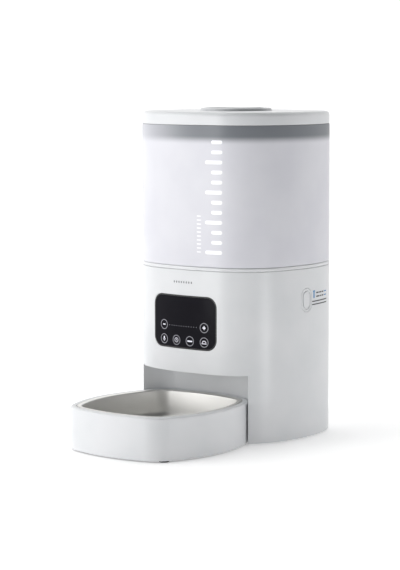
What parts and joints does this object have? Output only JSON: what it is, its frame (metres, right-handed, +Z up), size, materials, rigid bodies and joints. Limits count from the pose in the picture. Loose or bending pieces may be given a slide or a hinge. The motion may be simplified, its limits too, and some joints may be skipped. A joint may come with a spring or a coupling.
{
  "type": "automatic pet feeder",
  "caption": "Free-standing automatic dry-food feeder: frosted lift-off hopper with twist-lock lid, motor-driven rotor, touch display, and a pull-out tray with a steel bowl under the overhang.",
  "frame": {"origin": "middle of the footprint's box, on the floor under the rubber feet, with every part at rest", "axes": "+Z up, the bowl and display face -Y, +X is the feeder's own left-hand side seen from behind (right-hand side seen from the front)"},
  "size_m": [0.183, 0.2924, 0.3359],
  "materials": {
    "white_abs": "satin moulded ABS",
    "inner_abs": "matt moulded ABS",
    "frosted_tank": "frosted translucent moulding",
    "lens_black": "high gloss",
    "pcb_green": "solder resist",
    "black_plastic": "matt",
    "rubber_black": "matt",
    "silicone": "matt silicone",
    "steel_screw": "zinc plated",
    "steel_bowl": "satin spun stainless",
    "steel_can": "drawn steel",
    "spring_steel": "nickel plated",
    "brass_part": "turned brass",
    "acetal": "moulded acetal",
    "rotor_plastic": "moulded polypropylene",
    "led_white": "clear light guide"
  },
  "bodies": {
    "base": {"base_housing": "white_abs", "deck": "white_abs", "bottom_cover": "white_abs", "rubber_feet": "rubber_black", "cover_screws": "steel_screw", "food_chute": "inner_abs", "display_lens": "lens_black", "display_pcb": "pcb_green", "led_bar": "led_white", "touch_springs": "spring_steel", "microphone": "steel_can", "main_pcb": "pcb_green", "dc_jack": "black_plastic", "speaker": "black_plastic", "gearbox_case": "inner_abs", "gearbox_cover": "inner_abs", "gearbox_screws": "steel_screw", "gear_axles": "steel_screw", "output_bush": "brass_part", "motor": "steel_can", "position_sensor": "black_plastic", "battery_box": "inner_abs", "battery_contacts": "spring_steel", "button_guides": "inner_abs", "release_spring_right": "spring_steel", "release_spring_left": "spring_steel"},
    "motor_shaft": {"motor_pinion": "brass_part"},
    "gear_1": {"gear_1": "acetal"},
    "gear_2": {"gear_2": "acetal"},
    "output": {"output_gear": "acetal", "output_shaft": "steel_can", "encoder_disc": "black_plastic"},
    "button_right": {"release_button_right": "white_abs"},
    "button_left": {"release_button_left": "white_abs"},
    "battery_door": {"battery_door": "white_abs"},
    "hopper": {"hopper_tank": "frosted_tank", "hopper_floor": "white_abs", "outlet_guard": "inner_abs", "guard_screws": "steel_screw"},
    "rotor": {"rotor": "rotor_plastic", "rotor_wiper": "silicone"},
    "lid": {"lid_shell": "white_abs", "lid_plug": "white_abs", "lid_seal": "silicone", "lid_screws": "steel_screw", "desiccant_box": "inner_abs", "desiccant_cover": "inner_abs"},
    "knob": {"lid_knob": "white_abs", "knob_pinion": "acetal"},
    "bolt_right": {"lid_bolt_right": "inner_abs"},
    "bolt_left": {"lid_bolt_left": "inner_abs"},
    "tray": {"bowl_tray": "white_abs", "tray_feet": "rubber_black"},
    "bowl": {"steel_bowl": "steel_bowl"}
  },
  "joints": [
    {"name": "rotor_turn", "type": "hinge", "parent": "hopper", "child": "rotor", "pos_m": [0, 0.05925, 0.15], "axis": [0, 0, 1], "continuous": true},
    {"name": "output_turn", "type": "hinge", "parent": "base", "child": "output", "pos_m": [0, 0.05925, 0.11], "axis": [0, 0, 1], "continuous": true},
    {"name": "gear_2_turn", "type": "hinge", "parent": "base", "child": "gear_2", "pos_m": [0.0126, 0.08107, 0.102], "axis": [0, 0, 1], "continuous": true},
    {"name": "gear_1_turn", "type": "hinge", "parent": "base", "child": "gear_1", "pos_m": [-0.00766, 0.09277, 0.098], "axis": [0, 0, 1], "continuous": true},
    {"name": "motor_turn", "type": "hinge", "parent": "base", "child": "motor_shaft", "pos_m": [0.00494, 0.1146, 0.094], "axis": [0, 0, 1], "continuous": true},
    {"name": "button_right_press", "type": "slide", "parent": "base", "child": "button_right", "axis": [-1, 0, 0], "range_m": [0, 0.003], "stiffness_N_per_m": 500, "springref_m": -0.002, "deforming": ["release_spring_right"]},
    {"name": "button_left_press", "type": "slide", "parent": "base", "child": "button_left", "axis": [1, 0, 0], "range_m": [0, 0.003], "stiffness_N_per_m": 500, "springref_m": -0.002, "deforming": ["release_spring_left"]},
    {"name": "battery_door_slide", "type": "slide", "parent": "base", "child": "battery_door", "axis": [0, 1, 0], "range_m": [0, 0.008]},
    {"name": "hopper_lift", "type": "slide", "parent": "base", "child": "hopper", "axis": [0, 0, 1], "range_m": [0, 0.08]},
    {"name": "lid_lift", "type": "slide", "parent": "hopper", "child": "lid", "axis": [0, 0, 1], "range_m": [0, 0.06]},
    {"name": "knob_turn", "type": "hinge", "parent": "lid", "child": "knob", "pos_m": [0, 0.05925, 0.33], "axis": [0, 0, 1], "range_deg": [0, 90]},
    {"name": "bolt_right_slide", "type": "slide", "parent": "lid", "child": "bolt_right", "axis": [-1, 0, 0], "range_m": [0, 0.0118]},
    {"name": "bolt_left_slide", "type": "slide", "parent": "lid", "child": "bolt_left", "axis": [1, 0, 0], "range_m": [0, 0.0118]},
    {"name": "tray_pull", "type": "slide", "parent": "base", "child": "tray", "axis": [0, -1, 0], "range_m": [0, 0.1]},
    {"name": "bowl_lift", "type": "slide", "parent": "tray", "child": "bowl", "axis": [0, 0, 1], "range_m": [0, 0.017]}
  ],
  "couplings": [
    {"joint": "output_turn", "follows": "rotor_turn", "ratio": 1},
    {"joint": "gear_2_turn", "follows": "rotor_turn", "ratio": -3},
    {"joint": "gear_1_turn", "follows": "rotor_turn", "ratio": 10},
    {"joint": "motor_turn", "follows": "rotor_turn", "ratio": -36.667},
    {"joint": "bolt_right_slide", "follows": "knob_turn", "m_per_rad": 0.0075},
    {"joint": "bolt_left_slide", "follows": "knob_turn", "m_per_rad": 0.0075}
  ]
}
